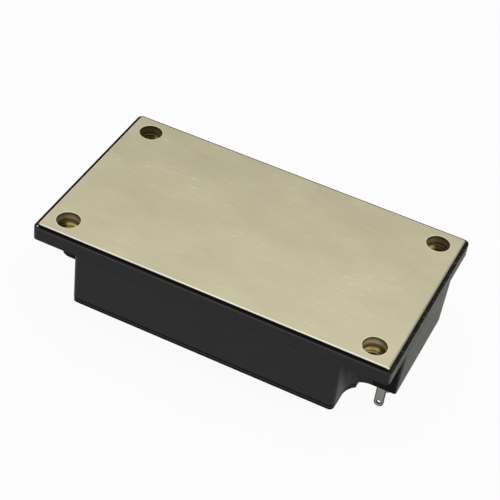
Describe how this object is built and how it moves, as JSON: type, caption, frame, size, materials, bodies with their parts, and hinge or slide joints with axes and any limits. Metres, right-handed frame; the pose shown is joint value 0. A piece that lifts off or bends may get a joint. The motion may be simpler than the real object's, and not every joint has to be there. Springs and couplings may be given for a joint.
{
  "type": "igbt module",
  "caption": "IGBT half-bridge power module with a nickel-plated baseplate, moulded case, screw terminals over captive nuts and blade tabs for the signals.",
  "frame": {"origin": "centre of the baseplate's mounting face", "axes": "+Z out of the mounting face, +X along the length towards the end with the signal tabs"},
  "size_m": [0.108, 0.062, 0.03],
  "materials": {
    "baseplate_nickel": "brushed nickel plate on copper",
    "case_plastic": "matt moulded black",
    "lid_plastic": "matt moulded black",
    "bush_brass": "turned",
    "terminal_nickel": "nickel plate on copper",
    "nut_steel": "zinc plate",
    "tab_nickel": "tin plate",
    "ceramic": "fired white",
    "copper": "bare copper",
    "chip": "metallised silicon",
    "aluminium": "bright ribbon",
    "lead_tin": "tinned copper strip",
    "gel": "clear soft silicone"
  },
  "bodies": {
    "root": {"baseplate": "baseplate_nickel", "bush_back_left": "bush_brass", "bush_back_right": "bush_brass", "bush_front_left": "bush_brass", "bush_front_right": "bush_brass", "case": "case_plastic", "ceramic_left": "ceramic", "ceramic_right": "ceramic", "copper_backing_left": "copper", "copper_backing_right": "copper", "copper_tracks_left": "copper", "copper_tracks_right": "copper", "diode_chip_left_1": "chip", "diode_chip_left_2": "chip", "diode_chip_right_1": "chip", "diode_chip_right_2": "chip", "emitter_ribbons_left_1": "aluminium", "emitter_ribbons_left_2": "aluminium", "emitter_ribbons_right_1": "aluminium", "emitter_ribbons_right_2": "aluminium", "lid": "lid_plastic", "phase_link": "copper", "signal_lead_1": "lead_tin", "signal_lead_2": "lead_tin", "signal_lead_3": "lead_tin", "signal_lead_4": "lead_tin", "signal_ribbons_left": "aluminium", "signal_ribbons_right": "aluminium", "signal_tab_1": "tab_nickel", "signal_tab_2": "tab_nickel", "signal_tab_3": "tab_nickel", "signal_tab_4": "tab_nickel", "silicone_gel": "gel", "switch_chip_left_1": "chip", "switch_chip_left_2": "chip", "switch_chip_right_1": "chip", "switch_chip_right_2": "chip", "terminal_left": "terminal_nickel", "terminal_middle": "terminal_nickel", "terminal_nuts": "nut_steel", "terminal_right": "terminal_nickel"}
  },
  "joints": []
}
